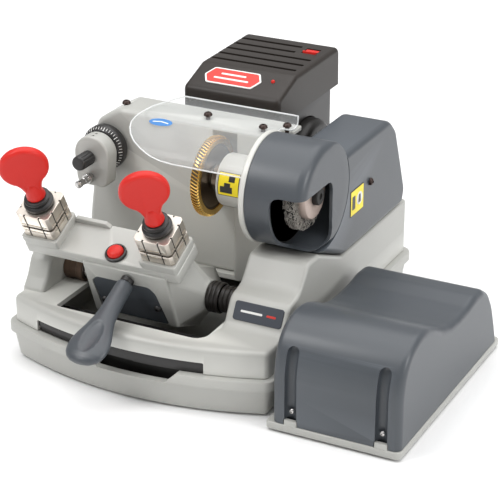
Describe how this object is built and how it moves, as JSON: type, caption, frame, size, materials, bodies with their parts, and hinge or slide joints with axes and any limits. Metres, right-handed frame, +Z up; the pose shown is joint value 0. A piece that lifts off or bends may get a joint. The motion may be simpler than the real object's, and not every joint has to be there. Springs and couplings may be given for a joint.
{
  "type": "key duplicating machine",
  "caption": "Bench key duplicating machine: a cutter wheel and a tracer over a rocking carriage with two four-sided key clamps, a guarded wire brush, and a belt drive from a hooded motor.",
  "frame": {"origin": "centre of the bounding box's footprint, on the surface the feet stand on", "axes": "+X to the operator's right along the spindle, +Y away from the operator, +Z up"},
  "size_m": [0.404, 0.3912, 0.232],
  "materials": {
    "base_paint": "painted satin, light warm grey",
    "frame_paint": "painted satin, light warm grey",
    "dark_plastic": "satin moulded, slate grey",
    "black_plastic": "satin moulded",
    "hood_plastic": "satin moulded, brown black",
    "motor_shell": "painted black, finely ribbed",
    "red_plastic": "semi gloss",
    "steel": "turned",
    "nickel": "ground, nickel plated",
    "cutter_gold": "coated tool steel with a gold tone",
    "rubber": "matte",
    "clear_sheet": "clear sheet, standing in for polycarbonate",
    "brush_wire": "fine wire",
    "circuit_green": "solder resist",
    "sleeve_brown": "dark bronze tone",
    "label_dark": "printed plate, blank",
    "dark_screw": "browned"
  },
  "bodies": {
    "machine": {"base_tray": "base_paint", "base_casing": "base_paint", "side_plate": "base_paint", "frame_casting": "frame_paint", "tracer_head": "frame_paint", "side_cover": "dark_plastic", "brush_guard": "dark_plastic", "belt_cover": "dark_plastic", "nameplate": "label_dark", "foot_1": "rubber", "foot_2": "rubber", "foot_3": "rubber", "foot_4": "rubber", "boot_fixed": "rubber", "drive_belt": "rubber", "side_cover_screw_left": "steel", "side_cover_screw_right": "steel", "control_board": "circuit_green", "frame_screw": "dark_screw", "shield_screw_left": "dark_screw", "shield_screw_right": "dark_screw", "shield": "clear_sheet", "spindle_bearing_left": "steel", "spindle_bearing_right": "steel", "belt_cover_screw": "steel", "motor_body": "motor_shell", "motor_housing": "black_plastic", "motor_hood": "hood_plastic", "power_inlet": "black_plastic", "shaft_sleeve": "sleeve_brown"},
    "carriage_slider": {"carriage_shaft": "steel", "shaft_end_knob": "black_plastic", "boot_moving": "rubber"},
    "carriage": {"carriage_body": "frame_paint", "carriage_panel": "dark_plastic", "panel_screw_left": "dark_screw", "panel_screw_right": "dark_screw", "button_bezel": "black_plastic", "lever_collar": "black_plastic", "lever_grip": "dark_plastic"},
    "clamp_turret_left": {"clamp_base_left": "nickel"},
    "clamp_turret_right": {"clamp_base_right": "nickel"},
    "clamp_top_left": {"clamp_jaw_left": "nickel", "clamp_collar_left": "black_plastic"},
    "clamp_top_right": {"clamp_jaw_right": "nickel", "clamp_collar_right": "black_plastic"},
    "clamp_handle_left": {"clamp_knob_left": "red_plastic"},
    "clamp_handle_right": {"clamp_knob_right": "red_plastic"},
    "spindle": {"spindle_shaft": "steel", "cutter_wheel": "cutter_gold", "cutter_nut": "steel", "wire_brush": "brush_wire", "spindle_pulley": "steel"},
    "motor_rotor": {"motor_pulley": "steel"},
    "dial": {"tracer_dial": "black_plastic"},
    "stylus": {"tracer_point": "steel"},
    "tracer_lock": {"tracer_lock_knob": "black_plastic"},
    "button": {"start_button": "red_plastic"},
    "power_switch": {"rocker_switch": "red_plastic"},
    "drawer": {"chip_drawer": "dark_plastic"}
  },
  "joints": [
    {"name": "carriage_slide", "type": "slide", "parent": "machine", "child": "carriage_slider", "axis": [1, 0, 0], "range_m": [-0.018, 0.012]},
    {"name": "carriage_rock", "type": "hinge", "parent": "carriage_slider", "child": "carriage", "pos_m": [-0.076, -0.06336, 0.072], "axis": [1, 0, 0], "range_deg": [-29, 0]},
    {"name": "clamp_turn_left", "type": "hinge", "parent": "carriage", "child": "clamp_turret_left", "pos_m": [-0.16, -0.1, 0.1274], "axis": [0, -0.454, 0.891], "continuous": true},
    {"name": "jaw_lift_left", "type": "slide", "parent": "clamp_turret_left", "child": "clamp_top_left", "axis": [0, -0.454, 0.891], "range_m": [-0.0018, 0.0029]},
    {"name": "handle_turn_left", "type": "hinge", "parent": "clamp_top_left", "child": "clamp_handle_left", "pos_m": [-0.16, -0.11998, 0.16661], "axis": [0, -0.454, 0.891], "range_deg": [-220, 360]},
    {"name": "clamp_turn_right", "type": "hinge", "parent": "carriage", "child": "clamp_turret_right", "pos_m": [-0.04, -0.1, 0.1274], "axis": [0, -0.454, 0.891], "continuous": true},
    {"name": "jaw_lift_right", "type": "slide", "parent": "clamp_turret_right", "child": "clamp_top_right", "axis": [0, -0.454, 0.891], "range_m": [-0.0018, 0.0029]},
    {"name": "handle_turn_right", "type": "hinge", "parent": "clamp_top_right", "child": "clamp_handle_right", "pos_m": [-0.04, -0.11998, 0.16661], "axis": [0, -0.454, 0.891], "range_deg": [-220, 360]},
    {"name": "spindle_spin", "type": "hinge", "parent": "machine", "child": "spindle", "pos_m": [0.012, -0.01236, 0.164], "axis": [1, 0, 0], "continuous": true},
    {"name": "motor_spin", "type": "hinge", "parent": "machine", "child": "motor_rotor", "pos_m": [0.029, 0.12264, 0.136], "axis": [1, 0, 0], "continuous": true},
    {"name": "dial_turn", "type": "hinge", "parent": "machine", "child": "dial", "pos_m": [-0.159, -0.00336, 0.167], "axis": [0, 1, 0], "range_deg": [-60, 60]},
    {"name": "stylus_slide", "type": "slide", "parent": "machine", "child": "stylus", "axis": [0, 1, 0], "range_m": [-0.00104, 0.00104]},
    {"name": "tracer_lock_turn", "type": "hinge", "parent": "machine", "child": "tracer_lock", "pos_m": [-0.16, -0.03736, 0.166], "axis": [0, 1, 0], "range_deg": [-180, 180]},
    {"name": "start_press", "type": "slide", "parent": "carriage", "child": "button", "axis": [0, 0.454, -0.891], "range_m": [0, 0.0025], "stiffness_N_per_m": 600, "springref_m": -0.002},
    {"name": "power_rock", "type": "hinge", "parent": "machine", "child": "power_switch", "pos_m": [-0.028, 0.16714, 0.2255], "axis": [1, 0, 0], "range_deg": [0, 18]},
    {"name": "drawer_pull", "type": "slide", "parent": "machine", "child": "drawer", "axis": [0, -1, 0], "range_m": [0, 0.045]}
  ],
  "couplings": [
    {"joint": "motor_spin", "follows": "spindle_spin", "ratio": 1.2},
    {"joint": "dial_turn", "follows": "stylus_slide", "rad_per_m": 997.33},
    {"joint": "handle_turn_left", "follows": "jaw_lift_left", "rad_per_m": 2094.4},
    {"joint": "handle_turn_right", "follows": "jaw_lift_right", "rad_per_m": 2094.4}
  ]
}
